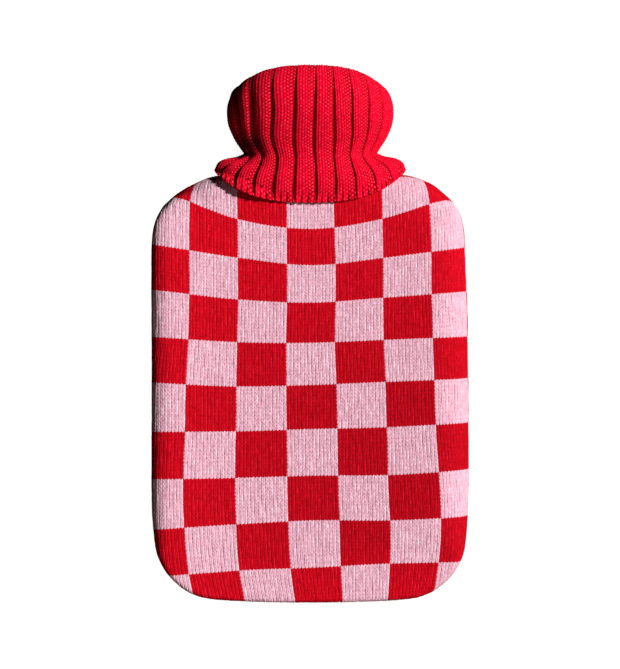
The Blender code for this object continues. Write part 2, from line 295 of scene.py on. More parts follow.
# ---- form ----
def smooth_step(share):
    """Ease from 0 to 1 with level ends: three times the square less twice the cube."""
    share = np.clip(share, 0.0, 1.0)
    return share * share * (3 - 2 * share)


def fading(distance, reach):
    """Ease from 1 at no distance to 0 at the reach."""
    return 1 - smooth_step(distance / reach)


def bend_through(before, start, end, after, t):
    """A smooth cubic curve from start to end, t of the way.

    Its slope is half the way from before to end where it starts, and half that from start to after at its end.
    """
    bend = 2 * before - 5 * start + 4 * end - after + (3 * start - before - 3 * end + after) * t
    return 0.5 * (2 * start + (end - before) * t + bend * t * t)


def along_table(table, place):
    """Values of a table's columns between its rows, on a smooth cubic curve through the rows.

    The place is a row number with a fraction; the result has one more dimension, for the columns.  Past
    the ends the first and the last stretch run straight on.
    """
    table = np.asarray(table, float)
    table = np.vstack([2 * table[0] - table[1], table, 2 * table[-1] - table[-2]])
    row = np.clip(np.floor(place), 0, len(table) - 4).astype(int)
    t = (np.asarray(place) - row)[..., None]
    return bend_through(*(table[row + k] for k in range(4)), t)


def between_columns(heights, place):
    """Heights between the five columns of a check line, on a smooth cubic curve through them."""
    five = np.concatenate([[2 * heights[0] - heights[1]], heights, [2 * heights[-1] - heights[-2]]])
    column = np.clip(np.floor(place), 0, len(heights) - 2).astype(int)
    near = (np.take_along_axis(five, (column + k)[None], 0)[0] for k in range(4))
    return bend_through(*near, place - column)


def seam_line(steps=6):
    """The seam from the left of the neck round the bottom to its right, and the inward normals there."""
    table = np.array(OUTLINE) * MM
    left = np.column_stack([-table[:, 1], table[:, 0]])
    right = np.column_stack([table[:, 2], table[:, 0]])[::-1]
    rows = np.vstack([left, right[1:]])
    line = along_table(rows, np.linspace(0, len(rows) - 1, (len(rows) - 1) * steps + 1))
    line = np.vstack([line[0] + (0, NECK_TOP_Y), line, line[-1] + (0, NECK_TOP_Y)])
    along = np.gradient(line, axis=0)
    normals = np.column_stack([-along[:, 1], along[:, 0]])
    return line, normals / np.linalg.norm(normals, axis=1)[:, None]


def from_seam(spots, at_once=4000):
    """Signed distance of each spot from the seam, above zero inside, and the inward normal at its foot.

    The foot is the nearest point of the nearest stretch of the seam line.
    """
    line, normals = seam_line()
    start, along = line[:-1], np.diff(line, axis=0)
    distances, directions = [], []
    for some in np.array_split(spots, max(1, len(spots) // at_once)):
        share = np.clip(((some[:, None] - start) * along).sum(-1) / (along**2).sum(-1), 0, 1)
        offset = some[:, None] - start - share[..., None] * along
        nearest = (offset**2).sum(-1).argmin(1)
        pick = np.arange(len(some))
        share, offset = share[pick, nearest][:, None], offset[pick, nearest]
        normal = normals[nearest] * (1 - share) + normals[nearest + 1] * share
        side = np.sign((offset * normal).sum(1))
        distances.append(side * np.linalg.norm(offset, axis=1))
        directions.append(normal / np.linalg.norm(normal, axis=1)[:, None])
    return np.concatenate(distances), np.concatenate(directions)


def along_edge(distance, fullness, exponents=20, steps=600, even_steps=300):
    """Cloth at a flat distance from the seam, laid along a curved edge: a quarter of a superellipse.

    Gives its length from the seam, its distance in, its share of the rise and how steep it is.  The edge is
    worked out for a row of exponents, and each spot takes a blend of the two that are nearest to its own.
    """
    angle = smooth_step(smooth_step(np.linspace(0, 1, steps))) * math.pi / 2
    row, gap = np.linspace(EDGE_FULLNESS, END_FULLNESS, exponents, retstep=True)
    laid = np.zeros((4, len(distance)))
    for exponent in row:
        share = np.clip(1 - np.abs(fullness - exponent) / gap, 0, 1)
        inward = (1 - np.sin(math.pi / 2 - angle) ** (2 / exponent)) * EDGE_REACH
        rise = np.sin(angle) ** (2 / exponent)
        length = np.concatenate([[0], np.hypot(np.diff(inward), np.diff(rise) * EDGE_RISE).cumsum()])
        along = distance + length[-1] - EDGE_REACH
        even = np.linspace(0, length[-1], even_steps)
        slope = np.gradient(np.interp(even, length, rise) * EDGE_RISE, even)
        reached = np.interp(along, length, inward) + np.clip(along - length[-1], 0, None)
        risen, steep = np.interp(along, length, rise), np.interp(along, even, slope)
        laid += share * np.stack([along, reached, risen, steep])
    return laid


def seam_height(y):
    """Height of the seam, which rises from the body to the neck's axis."""
    share = smooth_step((y - LIFT_START_Y) / (NECK_TOP_Y - LIFT_START_Y))
    return SEAM_HEIGHT + (NECK_HEIGHT - SEAM_HEIGHT) * share


def front_height(y):
    """Height of the front panel where its edge no longer curves: level, with a parabola down to the neck."""
    return FRONT_HEIGHT + CROWN * (1 - np.clip((y - CROWN_CENTRE_Y) / CROWN_REACH_Y, 0, 1) ** 2)


def back_height(y):
    """Height of the back panel: flat on the surface, then a parabola up to the neck."""
    share = np.clip((y - LIFT_START_Y) / (NECK_TOP_Y - LIFT_START_Y), 0, 1)
    return NECK_BACK_HEIGHT * share**2


def rim_height(x, y):
    """Rise towards the left and bottom edges: the root of the sum of the two rims' squares.

    Each rim is (1 + t) exp(-t) of the distance in, past its highest place.  The left one eases down again
    from there to the seam, and sinks away towards the shoulder.
    """
    widest = np.max(np.array(OUTLINE)[:, 1]) * MM
    lowest = OUTLINE[-1][0] * MM
    left, low = (np.clip(place - RIM_PLACE, 0, None) / RIM_REACH for place in (x + widest, y - lowest))
    left, low = (1 + left) * np.exp(-left), (1 + low) * np.exp(-low)
    stays = fading(y - RIM_TOP_Y, RIM_END)
    fall = RIM_FALL * smooth_step((RIM_PLACE - x - widest) / RIM_PLACE) * stays
    return np.hypot(RIM * left * stays, LOW_RIM * low) - fall


def edge_share(distance, growth):
    """Share of the rise at a distance from the seam, a quarter of a superellipse that has grown outwards."""
    left = 1 - np.clip((distance + growth) / (EDGE_REACH + growth), 0, 1)
    return (1 - left**EDGE_FULLNESS) ** (1 / EDGE_FULLNESS)


def lay_over_form(spots, front):
    """Points and outward normals of flat cloth laid over the cover's front, or over its back.

    A spot keeps its place where the cover is level.  Nearer the seam its distance along the cloth is taken
    as a length along the curved edge.  Beyond the seam it turns in behind the seam.
    """
    distance, toward = from_seam(spots)
    across, up = toward.T
    fullness = EDGE_FULLNESS + 0 * distance
    if front:
        fullness = RIGHT_FULLNESS + (LEFT_FULLNESS - RIGHT_FULLNESS) * (across + 1) / 2
        fullness = fullness + (END_FULLNESS - fullness) * smooth_step(up)
        slanting = (-up - SHOULDER_SLANT) / (1 - SHOULDER_SLANT)
        high = (spots[:, 1] - SHOULDER_Y) / SHOULDER_REACH
        fullness = fullness + (EDGE_FULLNESS - fullness) * smooth_step(np.maximum(slanting, high))
    along, inward, share, steep = along_edge(distance, fullness)
    inset = LEFT_INSET * np.clip(across, 0, 1) + END_INSET * np.clip(up, 0, 1)
    inset = inset * fading(distance, EDGE_REACH)
    x, y = (spots + toward * (inward + np.clip(-along, 0, SEAM_TURN) + inset - distance)[:, None]).T
    seam = seam_height(y) + (HALF_SEAM_GAP if front else -HALF_SEAM_GAP)
    face = front_height(y) if front else back_height(y)
    rim = rim_height(x, y) if front else 0
    steep = np.clip(steep, 0, 1)[:, None]
    level = np.sqrt(1 - steep**2) * (1 if front else -1)
    points = np.column_stack([x, y, seam + (face + rim - seam) * share])
    return points, np.hstack([-toward * steep, level]), along


# ---- knitting ----
def drift(shape, scale, seed, closed=False):
    """Smooth unevenness about zero: random heights this many points apart, on smooth cubic curves.

    Where it is closed, its last column is brought to its first one, a little in each column.
    """
    rows, columns = shape
    coarse = np.random.default_rng(seed).normal(size=(int(rows / scale[0]) + 4, int(columns / scale[1]) + 4))
    down = along_table(coarse, np.arange(rows) / scale[0])
    field = along_table(down.T, np.arange(columns) / scale[1]).T
    if closed:
        field += (field[:, :1] - field[:, -1:]) * np.linspace(0, 1, columns)
    return field


def knit(name, points, kept, stitches, painted_shade, material, closed=False):
    """A mesh from a grid of points, whose last column is its first one where the piece is closed.

    The UV map holds each point's place in stitches, and the attribute how much shade is painted on it, where
    it lies deep.
    """
    rows, columns = points.shape[:2]
    corner = np.arange(rows * columns).reshape(rows, columns)
    corners = np.stack((corner[:-1, :-1], corner[:-1, 1:], corner[1:, 1:], corner[1:, :-1]), axis=-1)[kept]
    vertex = corner.copy()
    if closed:
        vertex[:, -1] = vertex[:, 0]
    used, faces = np.unique(vertex.ravel()[corners], return_inverse=True)
    mesh = bpy.data.meshes.new(name)
    mesh.vertices.add(len(used))
    mesh.vertices.foreach_set("co", points.reshape(-1, 3)[used].ravel())
    mesh.loops.add(faces.size)
    mesh.loops.foreach_set("vertex_index", faces.ravel())
    mesh.polygons.add(len(corners))
    mesh.polygons.foreach_set("loop_start", np.arange(0, faces.size, 4))
    places = stitches.reshape(-1, 2)[corners.ravel()].ravel()
    mesh.uv_layers.new(name="stitches").data.foreach_set("uv", places)
    # each point's painted shade, which the materials read
    mesh.attributes.new("painted_shade", "FLOAT", "POINT").data.foreach_set("value", painted_shade.ravel()[used])
    mesh.materials.append(material)
    mesh.update(calc_edges=True)
    mesh.validate()
    mesh.shade_smooth()
    made = bpy.data.objects.new(name, mesh)
    bpy.context.scene.collection.objects.link(made)
    return made


def panel_mesh(name, front, sizes, material):
    """One panel, knitted in checks and laid over the form, up to the seam and the neck.

    The grid has a point for each groove, leg and middle of a stitch, and its rows follow the legs' lean: a
    zigzag, highest at the grooves.  A point's flat place comes from the check lines, and its height above
    the cloth is its leg's relief with some unevenness, eased away towards the seam.
    """
    wales = int(2 * SIDE_CHECKS * CHECK_WALES)
    courses = (LAST_ROW - FIRST_ROW) * CHECK_COURSES
    shape = int(courses * COURSE_POINTS) + 1, wales * WALE_POINTS + 1
    wale = np.arange(shape[1]) / WALE_POINTS
    row = (np.arange(shape[0]) / COURSE_POINTS)[:, None] + 0 * wale
    course = row + PANEL_LEAN * 2 * np.abs(wale % 1 - 0.5)
    across = wale / CHECK_WALES - SIDE_CHECKS + 0 * course
    seed = sizes.seed + (0 if front else 50)
    wander, deepen, ruffle = (
        sizes.unevenness * drift(shape, scale, seed + number)
        for number, scale in enumerate(((26, 16), (11, 4), (3, 2)))
    )
    lines = along_table(CHECK_LINES, LAST_ROW - course / CHECK_COURSES + 1)
    width = np.where(across < 0, lines[..., 1], lines[..., 2])
    x = lines[..., 0] + across * width + WALE_WANDER * wander
    column = np.clip(across, -LINE_END, LINE_END) / LINE_COLUMNS + 2
    y = between_columns(np.moveaxis(lines[..., 3:], -1, 0), column)
    spots = np.stack([x if front else -x, y], axis=-1).reshape(-1, 2) * MM
    points, normals, along = (part.reshape(*shape, -1) for part in lay_over_form(spots, front))
    along = along[..., 0]
    relief = np.resize(np.array(WALE_RELIEF), shape[1])
    groove = np.clip(GROOVE_DEPTH + GROOVE_CHANGE * deepen, 0.1, 2.0)
    height = relief * np.where(relief < 0, groove, 1) + LEG_CHANGE * ruffle
    height = height * sizes.relief * smooth_step(along / SEAM_EASE)
    height -= SEAM_DIP * fading(along, DIP_REACH)
    if not front:
        height = np.minimum(height, PRESSED) - PRESSED
    points = points + normals * height[..., None] * MM
    inside = (along > -SEAM_TURN) & (points[..., 1] < NECK_TOP_Y)
    kept = inside[:-1, :-1] & inside[:-1, 1:] & inside[1:, 1:] & inside[1:, :-1]
    # painted shade along the seam, where the cloth is drawn in
    painted_shade = fading(along, SEAM_DARK)
    stitches = np.stack([wale + 0 * row, row], axis=-1)
    if not front:
        points, kept, stitches, painted_shade = points[:, ::-1], kept[:, ::-1], stitches[:, ::-1], painted_shade[:, ::-1]
    return knit(name, points, kept, stitches, painted_shade, material)


def clear_of_panels(points):
    """The hem's points moved clear of the panels, up in front and down behind.

    The least height is that of the panel's face, grown outwards by what has to stay clear.
    """
    x, y, z = points.T
    clear = HEM_BACK + HEM_CLEARANCE
    distance = from_seam(points[:, :2])[0]
    seam, share = seam_height(y), edge_share(distance, clear)
    lift = HEM_LIFT * smooth_step((-x - LIFT_X) / LIFT_REACH)
    above = seam + (front_height(y) + clear - seam) * share + lift
    below = seam + (back_height(y) - clear - seam) * share
    moved = np.where(z > seam, np.maximum(z, above), np.minimum(z, below))
    return np.column_stack([x, y, np.where(distance > -clear, moved, z)])


def collar_surface(station, turn):
    """Points of the middle of the collar's cloth, and the ribs' height there.

    A station is a row of the collar's table with a fraction, and gives a ring: cosine of the turn times the
    half width across, sine times the height above the axis, with fuller sides, and a Y that goes from the
    side's to the front's or the back's with the sine's square.  On the bulb the ribs are spread to the left.
    """
    lines = along_table(COLLAR, station)
    half_width, front, back, side_y, front_y, back_y, rib = (lines[..., k] * MM for k in range(7))
    left = smooth_step((station - BULB_ROW) / 3) * np.clip(-np.cos(turn), 0, None) ** 2
    left = left * (1 + TOP_SPREAD * smooth_step((station - TOP_ROW) / 3))
    past = turn % (2 * math.pi) - FOLD_START
    folded = smooth_step(past / FOLD_REACH) * fading(past - FOLD_REACH, FOLD_END)
    spread = turn + lines[..., 7] * np.sin(2 * turn) + LEFT_SPREAD * left
    spread = spread + TOP_FOLD * folded * smooth_step((station - TOP_ROW) / 2.5)
    across, upright = np.cos(spread), np.sin(spread)
    fullness = HEM_FULLNESS + (SIDE_FULLNESS - HEM_FULLNESS) * smooth_step(station / 4)
    z = NECK_HEIGHT + np.where(upright > 0, front, back) * upright * (1 + fullness * across**2)
    drop = upright**2 * (1 + DROP_FULLNESS * across**2)
    y = side_y + (np.where(upright > 0, front_y, back_y) - side_y) * drop
    points = np.stack([half_width * across, y, z], axis=-1)
    on_hem = station < HEM_ROWS
    points[on_hem] = clear_of_panels(points[on_hem])
    return points, rib


def collar_normals(station, turn, step=0.02):
    """Outward normals of the collar's surface: the cross product of its steps round the tube and along it."""
    along = collar_surface(station + step, turn)[0] - collar_surface(station - step, turn)[0]
    beside = collar_surface(station, turn - step)[0] - collar_surface(station, turn + step)[0]
    normals = np.cross(beside, along)
    return normals / np.linalg.norm(normals, axis=-1)[..., None]


def collar_length(steps=500):
    """Stations from the hem to the neck, and their lengths along the cloth in the middle of the front."""
    stations = np.linspace(-0.5, len(COLLAR) - 1, steps)
    line = collar_surface(stations, np.full(steps, math.pi / 2))[0]
    length = np.concatenate([[0], np.linalg.norm(np.diff(line, axis=0), axis=1).cumsum()])
    return stations, length - np.interp(0, stations, length)


def rib_columns():
    """The columns of points round the collar: numbers, shares of their rib's cloth, turns and the rib's form.

    The form is the height of a common rib, the height of one on the far left, and how far the strand ends
    reach: half circles beside each other, stretched to their size.
    """
    across = COLLAR_WALES * 2 * STRAND_POINTS
    column = np.arange(RIBS * across + 1)
    share = column % across / across
    form = np.array(RIB_FORM)
    place, height, left_height = (np.interp(share, form[:, 0], form[:, k]) for k in (1, 2, 3))
    turn = math.pi / 2 + RIB_SHIFT + (0.5 - column // across - place) * 2 * math.pi / RIBS
    knobs = np.array(HEM_KNOBS)
    off = (place[:, None] - knobs[:, 0]) / knobs[:, 1]
    knob = (np.sqrt(np.clip(1 - off**2, 0, 1)) * knobs[:, 2]).max(1) * MM
    return column, share, turn, height, left_height, knob


def collar_mesh(name, sizes, material):
    """The ribbed collar, knitted round from the hem over the turn to the neck.

    Its rows run from inside the hem round the rolled edge and up the outside.  Each has a length along the
    cloth and a height above the middle of the cloth, which the edge's half circle joins.  The height is half
    the wall, the rib's form and the relief of the strands, whose bellies take turns.
    """
    column, share, turn, rib_height, left_height, knob = rib_columns()
    stations, length = collar_length()
    bead = knob / knob.max()
    leftward = np.clip(-np.cos(turn), 0, None)
    wale = (column - STRAND_POINTS) / (2 * STRAND_POINTS)
    lean = COLLAR_LEAN * 2 * np.abs(wale % 1 - 0.5)

    courses = int(length[-1] / COLLAR_COURSE)
    outer = (np.arange(courses * 2 + 1) / 2)[:, None] + 0 * lean
    begin = smooth_step(outer / 2)
    course = outer + (lean - COLLAR_LEAN) * begin * smooth_step((courses - outer) / 2)
    round_edge = np.linspace(math.pi, 0, LIP_ROWS, endpoint=False)[:, None] + 0 * lean
    inside = np.linspace(HEM_INSIDE, 0, INNER_ROWS, endpoint=False)[:, None] + 0 * lean
    outside = slice(INNER_ROWS + LIP_ROWS, None)
    reach = KNOB_REACH * knob + HEM_REACH
    drawn = reach * (LIP_REACH + (1 - LIP_REACH) * np.sin(round_edge))
    lip_lengths = -np.sin(round_edge) * COLLAR_WALL / 2 - drawn
    lengths = np.concatenate([inside, lip_lengths, course * COLLAR_COURSE])
    lengths[outside] -= reach * fading(outer, REACH_COURSES)
    station = np.interp(lengths, length, stations)

    on_left = smooth_step((leftward - FAR_LEFT) / FAR_LEFT_REACH) * smooth_step((station - BULB_ROW) / 2)
    rib_height = rib_height + (left_height - rib_height) * on_left
    rib_height = smooth_step(rib_height) * RIB_ROUNDING + rib_height * (1 - RIB_ROUNDING)
    rib_height[outside] **= 1 - HEM_BULGE * (1 - leftward) * fading(outer, BULGE_COURSES)
    sway = drift(outer.shape, (18, 20), sizes.seed + 6, closed=True) * sizes.unevenness
    turns = turn + 0 * station
    turns[outside] += RIB_SWAY * sway * begin
    points, rib = collar_surface(station, turns)

    ruffle = drift(outer.shape, (6, 3), sizes.seed + 5, closed=True) * sizes.unevenness
    relief = np.resize(np.array(STRAND_RELIEF), len(column))
    belly = (np.arange(len(outer))[:, None] + column // STRAND_POINTS) % 2 * 2 - 1
    relief = relief + STRAND_BELLY * belly * (relief > 0) + STRAND_CHANGE * ruffle
    relief = relief * (1 - TURN_FLAT * np.exp(-(((station[outside] - TURN_ROW) / TURN_REACH) ** 2)))
    ribs = rib[outside] * (rib_height[outside] - RIB_SINK - LEFT_SINK * leftward**2)
    ribs *= 1 - RIB_FOLD * np.cos(turn)
    at_hem = fading(outer, KNOB_COURSES + KNOB_COURSES * bead)
    ribs = ribs * (1 - HEM_FLATNESS * at_hem) + (bead - 0.5) * KNOB_HEIGHT * at_hem
    ribs -= HEM_THIN * fading(outer, THIN_COURSES)
    surface = COLLAR_WALL / 2 + ribs + relief * MM * sizes.relief
    lip = np.cos(round_edge) * np.where(np.cos(round_edge) > 0, COLLAR_WALL / 2 + ribs[0], HEM_BACK)
    heights = np.concatenate([inside * 0 - HEM_BACK, lip, surface])
    points = points + collar_normals(station, turns) * heights[..., None]

    # painted shade in the grooves between the ribs and on each right flank, where the next rib's shadow falls
    groove = fading(rib_height, GROOVE_TOP + LEFT_GROOVE_TOP * on_left)
    flank = FLANK_SHADE * smooth_step((share - FLANK_START) / FLANK_REACH)
    # painted shade, most of it on the left of the tube, away from the light
    painted_shade = np.maximum(groove, flank) * (SHADE_MEAN - SHADE_TURN * np.cos(turn)).clip(SHADE_LEAST, 1)
    # the inner face painted fully in shade
    painted_shade[:INNER_ROWS] = 1
    # painted shade in the fold under the left of the bulb
    waist = np.exp(-(((station - WAIST_ROW) / WAIST_REACH) ** 2))
    waist = waist * smooth_step((leftward - WAIST_LEFT) / WAIST_SIDE)
    painted_shade[outside] = np.maximum(painted_shade[outside], WAIST_SHADE * waist[outside])
    # painted shade in the gaps between the strand ends
    painted_shade[outside] += (GAP_SHADE * fading(bead, KNOB_GAP) - painted_shade[outside]) * fading(outer, GAP_COURSES)
    rows = lengths / COLLAR_COURSE
    rows[outside] = outer
    stitches = np.stack([wale + 0 * heights, rows], axis=-1)
    kept = np.ones((len(points) - 1, len(column) - 1), bool)
    return knit(name, points, kept, stitches, painted_shade, material, closed=True)


# ---- materials ----
def node(tree, kind, inputs=(), out=0, **settings):
    """Add a shader node with its settings and inputs, sockets to link or plain values, and give an output.

    The inputs stand in the node's own order, or in a dictionary with their names or numbers.
    """
    made = tree.nodes.new("ShaderNode" + kind)
    for key, value in settings.items():
        setattr(made, key, value)
    for key, value in inputs.items() if isinstance(inputs, dict) else enumerate(inputs):
        if isinstance(value, bpy.types.NodeSocket):
            tree.links.new(value, made.inputs[key])
        else:
            made.inputs[key].default_value = value
    return made.outputs[out]


# A stitch as a formula on its place in stitches: each line is a name, an operation and what it works on.
# The wale runs from 0 to 1 across a stitch, and the row up it, along its slanting legs.
STITCH = (
    ("middle", "PINGPONG", "wale", 0.5),  # 0 at the edges of a stitch, a half in its middle
    ("leg", "PINGPONG", "wale", 0.25),  # 0 in the gaps beside each leg, a quarter on it
    ("leg_number", "MULTIPLY", "wale", 2.0),
    ("strand", "FLOOR", "leg_number"),
    ("staggered", "MULTIPLY_ADD", "strand", "stagger", "row"),
    ("belly", "PINGPONG", "staggered", 0.5),  # 0 where two stitches meet, a half on the belly
    ("gap", "MULTIPLY_ADD", "leg", -4.0, 1.0),  # 1 in the gaps, 0 on the legs
    ("end", "MULTIPLY_ADD", "belly", -2.0, 1.0),  # 1 at the ends of a stitch, 0 on its belly
    ("hole", "MULTIPLY", "gap", "end"),
    ("groove", "ROUND", "wale"),  # the number of the nearest groove between wales
)
NOISE_LOW, NOISE_HIGH = 0.3, 0.7  # limits between which nearly all of a noise lies

# Painted light: how the yarn's brightness is painted to rise away from its dullest place, towards the neck,
# the
# bottom and the left: the stitch value that it follows, where the rise starts, where it ends, and how much it
# is in the red yarn.
PAINTED_LIGHT_RISES = (
    ("wale", 72.0, 18.0, 0.25),
    ("row", 62.0, 118.0, 0.28),
    ("row", 30.0, 16.0, 0.28),
)
PAINTED_DIMMING = 0.09  # painted shade: how much duller than on the whole the yarn is painted in that place


def stitch_values(tree, stagger):
    """The stitch's formula as nodes: a dictionary of its named values.

    Stagger is how many rows a leg's stitches lie above those of the leg on its left.
    """
    place = node(tree, "UVMap", uv_map="stitches")
    values = {
        "stagger": stagger,
        "wale": node(tree, "SeparateXYZ", [place]),
        "row": node(tree, "SeparateXYZ", [place], out=1),
    }
    for name, operation, *parts in STITCH:
        sockets = [values.get(part, part) for part in parts]
        values[name] = node(tree, "Math", sockets, operation=operation)
    return values


def uneven(tree, values, across, size, low, high, detail=1.0):
    """Smooth noise between two limits over a stitch value and the row: size says how fast it changes."""
    place = node(tree, "CombineXYZ", [values[across], values["row"]])
    scaled = node(tree, "Mapping", {"Vector": place, "Scale": (*size, 1.0)})
    noise = node(tree, "TexNoise", {"Vector": scaled, "Scale": 1.0, "Detail": detail})
    return node(tree, "MapRange", [noise, NOISE_LOW, NOISE_HIGH, low, high])


def fluff(tree, per_metre, low, high):
    """Fine noise on the piece itself, for the loose fibres: per_metre says how many go to a metre."""
    solid = node(tree, "TexCoord", out="Object")
    noise = node(tree, "TexNoise", {"Vector": solid, "Scale": per_metre, "Detail": 2.0})
    return node(tree, "MapRange", [noise, NOISE_LOW, NOISE_HIGH, low, high])


def finish_yarn(tree, colour, bright, bumps, sheen, tint):
    """Set a wool yarn's shader: colour times brightness, a matt surface with a soft halo, and its relief."""
    shader = tree.nodes["Principled BSDF"]
    toned = node(tree, "HueSaturation", {"Value": bright, "Color": colour})
    tree.links.new(toned, shader.inputs["Base Color"])
    bump = node(tree, "Bump", {"Height": bumps, "Strength": 0.6, "Distance": 0.4 * MM})
    tree.links.new(bump, shader.inputs["Normal"])
    shader.inputs["Roughness"].default_value = 0.9
    shader.inputs["Specular IOR Level"].default_value = 0.05
    shader.inputs["Sheen Weight"].default_value = sheen
    shader.inputs["Sheen Roughness"].default_value = 0.45
    shader.inputs["Sheen Tint"].default_value = tint


def checked_knit(colours):
    """Soft woollen yarn in two colours, knitted plain: matt, with uneven grooves between the wales.

    The yarn is 1.2 mm thick and a stitch 2.3 mm wide.  Its fibres are finer than a pixel, so they are drawn
    as specks of about 0.8 mm.
    """
    material = bpy.data.materials.get("checked_wool_knit")
    if material:
        return material
    material = bpy.data.materials.new("checked_wool_knit")
    material.use_nodes = True
    tree = material.node_tree
    values = stitch_values(tree, 0.0)
    # a stitch is red where the numbers of its column and its row of checks make an odd sum
    sway = node(tree, "Math", [values["belly"], 0.3, -0.07], operation="MULTIPLY_ADD")
    side = node(tree, "Math", [values["wale"], sway], operation="ADD")
    numbers = []
    for value, count in ((side, CHECK_WALES), (values["row"], CHECK_COURSES)):
        share = node(tree, "Math", [value, count], operation="DIVIDE")
        numbers.append(node(tree, "Math", [share], operation="FLOOR"))
    total = node(tree, "Math", numbers, operation="ADD")
    is_red = node(tree, "Math", [total, 2.0], operation="FLOORED_MODULO")
    # the yarn's own colour, its painted shade and its painted highlight, each pink or red
    yarn, painted_shade_colour, light = (
        node(tree, "Mix", {"Factor": is_red, 6: pink, 7: red}, out=2, data_type="RGBA")
        for pink, red in (
            (colours.pink, colours.red),
            (colours.pink_painted_shade, colours.red_painted_shade),
            (colours.pink_painted_highlight, colours.red_painted_highlight),
        )
    )
    # painted shade in the groove between two wales for a few stitches, before it closes again, in the
    # stitches' holes, and along the seam
    open_share = uneven(tree, values, "groove", (5.3, 0.26), -0.5, 1.4)
    edge = node(tree, "MapRange", [values["middle"], 0.03, 0.13, 1.0, 0.0])
    painted_groove_shade = node(tree, "Math", [edge, open_share], operation="MULTIPLY", use_clamp=True)
    patchy = uneven(tree, values, "strand", (4.7, 0.9), -0.3, 0.4)
    painted_gap_shade = node(tree, "Math", [values["hole"], patchy], operation="MULTIPLY", use_clamp=True)
    both = node(tree, "Math", [painted_groove_shade, 0.8, painted_gap_shade], operation="MULTIPLY_ADD", use_clamp=True)
    seam = node(tree, "Attribute", out="Fac", attribute_name="painted_shade")
    shade = node(tree, "Math", [both, seam], operation="MAXIMUM")
    # painted highlight: the flank of a stitch beside its groove, which faces the light, shows as a pale streak
    flank = node(tree, "Math", [values["wale"], 1.0], operation="FLOORED_MODULO")
    rise = node(tree, "MapRange", [flank, 0.60, 0.76, 0.0, 1.0])
    fall = node(tree, "MapRange", [flank, 0.82, 0.90, 1.0, 0.0])
    pale = uneven(tree, values, "strand", (6.1, 0.45), -0.6, 1.3)
    ray = node(tree, "Math", [rise, fall], operation="MULTIPLY")
    painted_streaks = node(tree, "Math", [ray, pale], operation="MULTIPLY", use_clamp=True)
    colour = node(tree, "Mix", {"Factor": painted_streaks, 6: yarn, 7: light}, out=2, data_type="RGBA")
    colour = node(tree, "Mix", {"Factor": shade, 6: colour, 7: painted_shade_colour}, out=2, data_type="RGBA")
    # painted light and shade: the yarn, the red one above all, is painted duller low on the right, and
    # brighter
    # the further it lies from there: by the length of the vector of the three rises
    away = [
        node(tree, "MapRange", [values[value], start, end, 0.0, most])
        for value, start, end, most in PAINTED_LIGHT_RISES
    ]
    away = node(tree, "CombineXYZ", away)
    away = node(tree, "VectorMath", [away], out=1, operation="LENGTH")
    away = node(tree, "Math", [away, PAINTED_DIMMING], operation="SUBTRACT")
    taken = node(tree, "Math", [is_red, 0.85, 0.15], operation="MULTIPLY_ADD")
    lift = node(tree, "Math", [away, taken, 1.0], operation="MULTIPLY_ADD")
    strands = uneven(tree, values, "strand", (3.7, 1.2), 0.86, 1.14)
    specks = fluff(tree, 1250.0, 0.82, 1.18)
    bright = node(tree, "Math", [strands, specks], operation="MULTIPLY")
    # painted light and shade across the front
    bright = node(tree, "Math", [bright, lift], operation="MULTIPLY")
    bumps = node(tree, "Math", [values["hole"], -1.0, specks], operation="MULTIPLY_ADD")
    finish_yarn(tree, colour, bright, bumps, 0.07, linear("D85068"))
    return material


